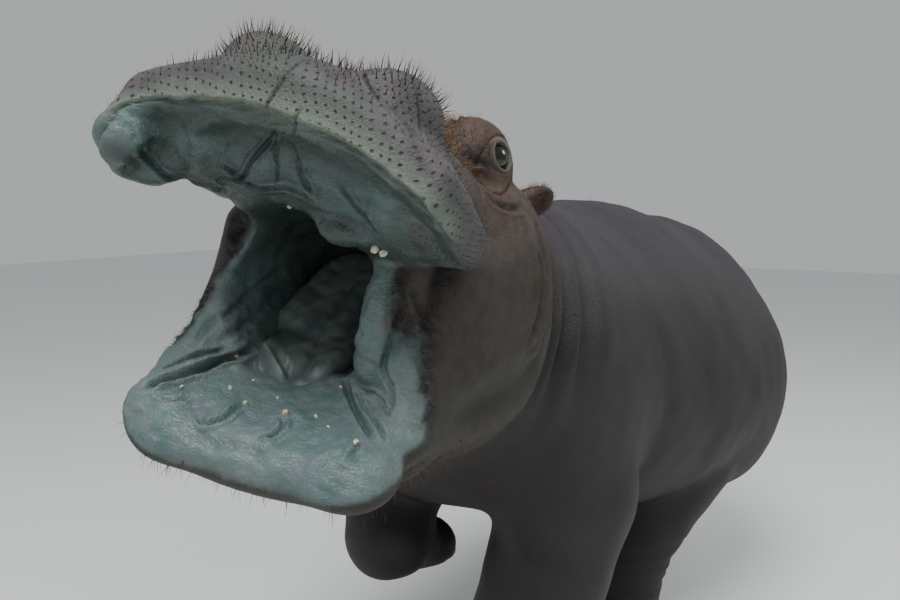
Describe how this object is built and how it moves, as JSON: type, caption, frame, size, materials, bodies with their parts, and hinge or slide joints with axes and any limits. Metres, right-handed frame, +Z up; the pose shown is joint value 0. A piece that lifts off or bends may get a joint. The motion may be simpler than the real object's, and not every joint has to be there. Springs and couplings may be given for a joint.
{
  "type": "hippopotamus calf model",
  "caption": "Life-size still model of a young hippopotamus standing with one forefoot lifted, head turned and raised, mouth wide open.",
  "frame": {"origin": "centre of the bounding box at floor level, under the belly", "axes": "+Z up, +Y towards the tail along the trunk, -Y the way the animal walks, +X its left"},
  "size_m": [0.6156, 1.7172, 0.9441],
  "materials": {
    "body_skin": "matte, bare, faintly creased",
    "head_skin": "matte, bare, pored, with bristles",
    "ear_skin": "matte, short-haired edge",
    "mouth_lining": "moist, satin",
    "tongue_flesh": "moist, satin",
    "eye_gloss": "gloss",
    "nail_horn": "satin horn"
  },
  "bodies": {
    "root": {"trunk": "body_skin", "neck": "body_skin", "tail": "body_skin", "foreleg_left": "body_skin", "foreleg_right": "body_skin", "hindleg_left": "body_skin", "hindleg_right": "body_skin", "head": "head_skin", "ear_left": "ear_skin", "ear_right": "ear_skin", "lower_jaw": "mouth_lining", "tongue": "tongue_flesh", "eye_left": "eye_gloss", "eye_right": "eye_gloss", "forefoot_left": "body_skin", "nail_forefoot_left_1": "nail_horn", "nail_forefoot_left_2": "nail_horn", "nail_forefoot_left_3": "nail_horn", "nail_forefoot_left_4": "nail_horn", "forefoot_right": "body_skin", "nail_forefoot_right_1": "nail_horn", "nail_forefoot_right_2": "nail_horn", "nail_forefoot_right_3": "nail_horn", "nail_forefoot_right_4": "nail_horn", "hindfoot_left": "body_skin", "nail_hindfoot_left_1": "nail_horn", "nail_hindfoot_left_2": "nail_horn", "nail_hindfoot_left_3": "nail_horn", "nail_hindfoot_left_4": "nail_horn", "hindfoot_right": "body_skin", "nail_hindfoot_right_1": "nail_horn", "nail_hindfoot_right_2": "nail_horn", "nail_hindfoot_right_3": "nail_horn", "nail_hindfoot_right_4": "nail_horn"}
  },
  "joints": []
}
